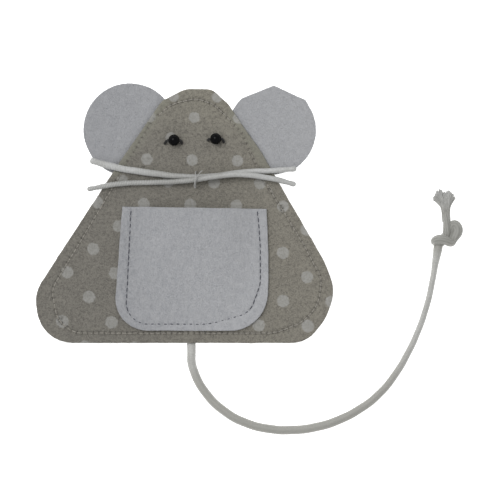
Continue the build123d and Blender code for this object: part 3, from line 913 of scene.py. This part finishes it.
def felt_sheet(name, slot, outline, low, high, close=None, marks=None, seed=1.0):
    """A cut piece of felt, closed, with rounded edges.

    low and high give the heights of its two faces at each point, and marks the mark there.
    """
    loop, out = cut_edge(outline, seed)
    rim = loop - out * CUT_ROUND
    flat, upper, border = flat_mesh(rim, spread_points(rim, close))
    count, total = len(rim), len(flat)
    top, bottom = high(flat), low(flat)
    points = [np.c_[flat, top], np.c_[flat, bottom]]
    faces = upper + [tuple(i + total for i in face[::-1]) for face in upper]
    rim_top, rim_bottom = top[border], bottom[border]
    round_off = np.minimum(CUT_ROUND, 0.45 * (rim_top - rim_bottom))
    rings = [border]
    for level, (angle, upward) in enumerate([(60, 1), (28, 1), (0, 1), (0, -1), (28, -1), (60, -1)]):
        reach = CUT_ROUND * math.cos(math.radians(angle)) + FUZZ * wave(rim, 0.9 * MM, seed + 3 * level)
        drop = round_off * (1 - math.sin(math.radians(angle)))
        height = rim_top - drop if upward > 0 else rim_bottom + drop
        points.append(np.c_[rim + out * reach[:, None], height])
        rings.append(2 * total + level * count + np.arange(count))
    rings.append(border + total)
    for above, below in zip(rings, rings[1:]):
        for i in range(count):
            j = (i + 1) % count
            faces.append((int(below[i]), int(below[j]), int(above[j]), int(above[i])))
    on_face = np.zeros(total) if marks is None else marks(flat)
    on_rings = np.tile(on_face[border], len(rings) - 2)
    return piece(name, slot, [(np.vstack(points), faces, np.r_[on_face, on_face, on_rings])])


def loose_fibres(sheet, slot, count):
    """Fine hairs that stand out of a felt sheet's faces and edges."""
    parts = []
    vertices = sheet.data.vertices
    for index in rng.integers(0, len(vertices), count):
        root, normal = np.array(vertices[index].co), np.array(vertices[index].normal)
        side = unit(np.cross(normal, rng.normal(0, 1, 3)))
        other = np.cross(normal, side)
        length = rng.uniform(0.5, 1.7) * MM
        stand = rng.uniform(0.05, 0.4)
        curl = rng.uniform(-0.5, 0.5)
        shares = np.linspace(0, 1, 5)[:, None]
        line = root - 0.08 * MM * normal + shares * length * (side + stand * normal)
        line += shares**2 * length * (curl * other - 0.5 * stand * normal)
        line[:, 2] = np.maximum(line[:, 2], 0.02 * MM)
        parts.append(tube(line, rng.uniform(0.014, 0.026) * MM, sides=4, step=0.35 * MM))
    return piece(sheet.name + "_fibres", slot, parts)


left_root, right_root = outline_of("ear_left_root"), outline_of("ear_right_root")
TAIL_X = TAIL_ROUTE[0][0]
body_outline = outline_of("body_front")


def pressed_between(points):
    """How far the ears' roots and the tail's root push one body sheet out, from where the sheets meet."""
    roots = [smoothstep(-0.7 * MM, 0.5 * MM, depth_in(points, loop)) for loop in (left_root, right_root)]
    beside = np.exp(-(((points[:, 0] - TAIL_X) / (2.3 * MM)) ** 2))
    below = smoothstep(-41 * MM, -44 * MM, points[:, 1])
    return 0.3 * MM * np.maximum(*roots) + 0.5 * MM * beside * below


def front_high(points):
    dent = outline_seam.dent(points, 0.22 * MM, 0.5 * MM, 0.9 * MM)
    puff = 0.07 * MM * wave(points, 9 * MM, 3.0) + 0.03 * MM * wave(points, 1.6 * MM, 4.0)
    return FRONT_TOP + pressed_between(points) + puff - dent


def front_low(points):
    return MEETING + pressed_between(points)


def back_high(points):
    return MEETING - 0.02 * MM - pressed_between(points)


def back_low(points):
    return BACK_LOW + 0.02 * MM + outline_back.dent(points, 0.42 * MM, 0.4 * MM, 0.25 * MM)


def over_ears(points):
    """1 where the front sheet's rim lies over an ear's root, beyond the seam."""
    roots = [smoothstep(-2.5 * MM, 0.5 * MM, depth_in(points, loop)) for loop in (left_root, right_root)]
    rim = 1 - smoothstep(1.6 * MM, 3.8 * MM, depth_in(points, body_outline))
    return np.maximum(*roots) * rim


def front_marks(points):
    """Above 0 on the rim over the ears' roots, for blurred flecks and a painted highlight, and below 0 in the
    needle holes, for painted shade.
    """
    hole = outline_seam.near_hole(points, 0.32 * MM)
    return over_ears(points) * (1 - hole) - hole


def pocket_marks(points):
    """A little below 0 in the needle holes, for a little painted shade there."""
    return -0.35 * pocket_seam.near_hole(points, 0.28 * MM)


def ear_marks(points):
    """1 everywhere: the ears' felt is smoother than the pocket's."""
    return np.ones(len(points))


front_sheet = felt_sheet(
    "front_sheet",
    "printed_felt",
    body_outline,
    front_low,
    front_high,
    close=outline_seam.close_points(),
    marks=front_marks,
)
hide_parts("body_front")
back_sheet = felt_sheet(
    "back_sheet", "body_felt", body_outline, back_low, back_high, close=outline_back.close_points(), seed=5.0
)
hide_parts("body_back")

pocket_mesh = NODES["pocket"].data
pocket_tree = BVHTree.FromPolygons(
    [vertex.co for vertex in pocket_mesh.vertices], [face.vertices for face in pocket_mesh.polygons]
)
FAR = 0.1  # a height above the whole object, and below it when negative


def pocket_heights(points, start, direction, otherwise):
    """How high a ray from above or below meets the CAD pocket at each point, or else `otherwise`."""
    found = [pocket_tree.ray_cast(Vector((*p, start)), Vector((0, 0, direction)))[0] for p in points]
    return np.array([otherwise if hit is None else hit.z for hit in found])


def pocket_high(points):
    panel = np.maximum(pocket_heights(points, FAR, -1, SEWN_PANEL_TOP), SEWN_PANEL_TOP)
    puff = 0.1 * MM * wave(points, 10 * MM, 6.0) + 0.03 * MM * wave(points, 1.6 * MM, 7.0)
    return panel + puff - pocket_seam.dent(points, 0.1 * MM, 0.5 * MM, 0.35 * MM)


def pocket_low(points):
    return pocket_heights(points, -FAR, 1, FRONT_TOP) + 0.01 * MM


pocket_sheet = felt_sheet(
    "pocket_panel",
    "grey_felt",
    outline_of("pocket"),
    pocket_low,
    pocket_high,
    close=pocket_seam.close_points(),
    marks=pocket_marks,
    seed=9.0,
)
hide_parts("pocket")
hair_of = {}  # each sheet's loose hairs, by the sheet's name
for sheet, slot, hairs in (
    (front_sheet, "printed_felt", 1500),
    (back_sheet, "body_felt", 900),
    (pocket_sheet, "grey_felt", 900),
):
    hair = loose_fibres(sheet, slot, hairs)
    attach(sheet, "felt_body")
    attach(hair, "felt_body")
    hair_of[sheet.name] = hair

JOINTS = {joint["name"]: joint for joint in frame["joints"]}


def felt_ear(side, seed):
    """An ear of one felt disc, thin where it is sewn in, with its hairs."""
    joint = JOINTS[f"ear_{side}_fold"]
    fold, axis = np.array(joint["pos_m"][:2]), np.array(joint["axis"][:2])
    outward = np.array((axis[1], -axis[0]))
    middle = sum(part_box(f"ear_{side}"), Vector()) / 2
    if outward @ (np.array(middle[:2]) - fold) < 0:
        outward = -outward

    def half_thickness(points):
        beyond = (points - fold) @ outward
        return (0.3 + 0.3 * smoothstep(-1.1 * MM, 0.3 * MM, beyond)) * MM

    def high(points):
        puff = 0.05 * MM * wave(points, 8 * MM, seed) + 0.02 * MM * wave(points, 1.6 * MM, seed)
        return MEETING + half_thickness(points) + puff

    def low(points):
        return MEETING - half_thickness(points) + 0.05 * MM * wave(points, 8 * MM, seed)

    outline = outline_of(f"ear_{side}", f"ear_{side}_root")
    ear = felt_sheet(f"{side}_ear", "grey_felt", outline, low, high, marks=ear_marks, seed=seed)
    hair = loose_fibres(ear, "grey_felt", 500)
    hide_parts(f"ear_{side}", f"ear_{side}_root")
    for bent in (ear, hair):
        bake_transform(bent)
    hair_of[ear.name] = hair
    return ear


left_ear, right_ear = felt_ear("left", 13.0), felt_ear("right", 17.0)

# ---------------- eyes
BEAD_HOLE_R = 0.5 * MM
BEAD_SIDES = 56


def bead(name, node):
    """A glass bead turned round its hole, which lies along X."""
    low, high = (np.array(corner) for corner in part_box(node))
    centre, half = (low + high) / 2, (high[0] - low[0]) / 2
    radius = (high[1] - low[1]) / 2
    profile = []
    for angle in np.linspace(0, math.pi, 40):
        x = radius * math.cos(angle)
        profile.append((max(-half, min(half, x)), max(radius * math.sin(angle), BEAD_HOLE_R + 0.06 * MM)))
    for x in np.linspace(-half + 0.1 * MM, half - 0.1 * MM, 8):
        profile.append((x, BEAD_HOLE_R))
    kept = [profile[0]] + [p for p, before in zip(profile[1:], profile) if math.dist(p, before) > 1e-6]
    points, faces = [], []
    for i, (x, r) in enumerate(kept):
        for k in range(BEAD_SIDES):
            turn = 2 * math.pi * k / BEAD_SIDES
            points.append(centre + (x, r * math.cos(turn), r * math.sin(turn)))
            this, after = i * BEAD_SIDES, (i + 1) % len(kept) * BEAD_SIDES
            beside = (k + 1) % BEAD_SIDES
            faces.append((this + k, this + beside, after + beside, after + k))
    obj = piece(name, "black_glass", [(np.array(points), faces, np.zeros(len(points)))])
    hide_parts(node)
    return obj


def bead_thread(side, left_leg, right_leg):
    """The doubled thread that holds a bead: up out of the felt, through the hole and down again.

    The legs are where it goes into the felt, in mm from the bead's middle.
    """
    x, y, z = sum(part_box(f"eye_{side}_bead"), Vector()) / 2
    (left_x, left_y), (right_x, right_y) = left_leg, right_leg
    line = smooth_line(
        [
            (x + left_x * MM, y + left_y * MM, FRONT_TOP - 0.8 * MM),
            (x + left_x * MM, y + left_y * MM, FRONT_TOP + 0.5 * MM),
            (x - 2.7 * MM, y - 0.2 * MM, z - 0.3 * MM),
            (x - 1.9 * MM, y, z),
            (x + 1.9 * MM, y, z),
            (x + 2.7 * MM, y - 0.2 * MM, z - 0.3 * MM),
            (x + right_x * MM, y + right_y * MM, FRONT_TOP + 0.5 * MM),
            (x + right_x * MM, y + right_y * MM, FRONT_TOP - 0.8 * MM),
        ]
    )
    part = tube(line, 0.54 * MM, sides=14, step=0.15 * MM, section=plies(2, 1.7 * MM, 0.34))
    obj = piece(f"{side}_bead_thread", "black_thread", [part])
    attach(obj, "felt_body")
    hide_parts(f"eye_{side}_thread")


for side, legs in (("left", ((-3.5, -1.2), (2.9, -1.2))), ("right", ((-2.9, -0.5), (3.0, -1.2)))):
    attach(bead(f"{side}_bead", f"eye_{side}_bead"), f"{side}_eye")
    bead_thread(side, *legs)

# ---------------- the outline seam's loose end, in mm
LOOSE_END = [(30.9, 11.0, 2.1), (31.5, 10.0, 2.5), (32.5, 9.2, 2.5), (32.4, 8.4, 2.5), (33.3, 7.3, 2.45)]
loose_line = smooth_line(np.array(LOOSE_END) * MM)
loose_part = tube(loose_line, 0.2 * MM, sides=10, step=0.12 * MM, section=SEWING_TWIST)
loose_thread = piece("loose_thread_end", "beige_thread", [loose_part])
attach(loose_thread, "felt_body")

# ---------------- whiskers' tie, in mm
TIE_X = 4.05
TIE_LOOP = [
    (15.6, 1.5),
    (15.5, 3.0),
    (14.9, 6.6),
    (13.4, 7.75),
    (11.6, 7.75),
    (10.2, 6.6),
    (9.6, 3.0),
    (9.5, 1.5),
]
TIE_KNOT = (TIE_X, 12.6, 8.0)
TIE_ENDS = (
    [(3.9, 12.4, 7.9), (4.6, 13.4, 8.1), (5.3, 14.4, 7.6), (6.1, 15.5, 6.9), (6.7, 15.8, 6.6)],
    [(4.1, 12.8, 7.9), (3.9, 11.6, 8.0), (3.6, 10.6, 7.5), (3.7, 9.6, 6.9), (4.0, 9.2, 6.6)],
)


def trefoil(size, middle, count=60):
    """The closed line of a small overhand knot, lying flat."""
    t = np.linspace(0, 2 * math.pi, count)
    line = np.c_[np.sin(t) + 2 * np.sin(2 * t), np.cos(t) - 2 * np.cos(2 * t), -np.sin(3 * t)]
    return line * size + np.array(middle)


def tie_thread():
    """A white thread round both whiskers, knotted on top, with two short ends."""
    double = plies(2, 1.5 * MM, 0.25)
    loop = [(TIE_X + 0.1 * (k % 2), y, z) for k, (y, z) in enumerate(TIE_LOOP)]
    parts = [tube(smooth_line(np.array(loop) * MM), 0.22 * MM, sides=12, step=0.15 * MM, section=double)]
    knot_line = trefoil(0.16 * MM, np.array(TIE_KNOT) * MM)
    parts.append(tube(knot_line, 0.19 * MM, sides=10, step=0.12 * MM))
    for end in TIE_ENDS:
        line = smooth_line(np.array(end) * MM)
        parts.append(tube(line, 0.17 * MM, sides=10, step=0.15 * MM, section=double))
    return piece("tie_thread", "white_thread", parts)


whisker_tie = tie_thread()
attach(whisker_tie, "felt_body")
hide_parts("whisker_tie")

# ---------------- the whiskers' routes and the felt sheets' sizes, listed and not used further
for whisker_cord, line, leaves in (
    (whisker_upper, upper_line, (-0.0268, 0.0170, 0.00375)),
    (whisker_lower, lower_line, (-0.0300, 0.0103, 0.00375)),
):
    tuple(leaves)

SHEETS = (  # width and length of each cut, its area, and what it lies on
    (front_sheet, (0.1127, 0.0951), 0.00698, "back_sheet"),
    (back_sheet, (0.1127, 0.0951), 0.00698, "floor"),
    (pocket_sheet, (0.0583, 0.0480), 0.00249, "front_sheet"),
    (left_ear, (0.0348, 0.0330), 0.00084, "back_sheet"),
    (right_ear, (0.0330, 0.0330), 0.00083, "back_sheet"),
)
for sheet, flat, area, under in SHEETS:
    hair = hair_of[sheet.name]


# ---------------- floor, light
FLOOR_HALF = 5.0
FLOOR_TOP = -0.02 * MM  # a hair's breadth below the object
LIGHT_PLACE = (-0.35, 0.32, 0.90)
LIGHT_SIZE = 0.6
LIGHT_POWER = 5.1
WORLD_STRENGTH = 0.62
WHITE = (1, 1, 1, 1)


def make_floor():
    """A plain white table, just below the object."""
    data = bpy.data.meshes.new("floor")
    corners = [(-1, -1), (1, -1), (1, 1), (-1, 1)]
    data.from_pydata([(x * FLOOR_HALF, y * FLOOR_HALF, FLOOR_TOP) for x, y in corners], [], [(0, 1, 2, 3)])
    mat = Material("white_table", Roughness=0.9, Emission_Color=WHITE, Emission_Strength=0.8)
    data.materials.append(mat.finish(mat.mix(mat.noise(40), srgb(250, 250, 250), srgb(253, 253, 253))))
    in_scene("floor", data)


def make_light():
    """A soft round light, high up to the left, aimed at the object."""
    data = bpy.data.lights.new("overhead", "AREA")
    data.shape = "DISK"
    data.size = LIGHT_SIZE
    data.energy = LIGHT_POWER
    light = in_scene("overhead", data)
    light.location = LIGHT_PLACE
    light.rotation_mode = "QUATERNION"
    light.rotation_quaternion = (-Vector(LIGHT_PLACE)).to_track_quat("-Z", "Y")
    light.visible_camera = False


def make_world():
    """A white sky, with colours shown as they are."""
    world = bpy.data.worlds.new("world")
    world.use_nodes = True
    background = world.node_tree.nodes["Background"].inputs
    background["Color"].default_value = WHITE
    background["Strength"].default_value = WORLD_STRENGTH
    bpy.context.scene.world = world
    bpy.context.scene.view_settings.view_transform = "Standard"


make_floor()
make_light()
make_world()
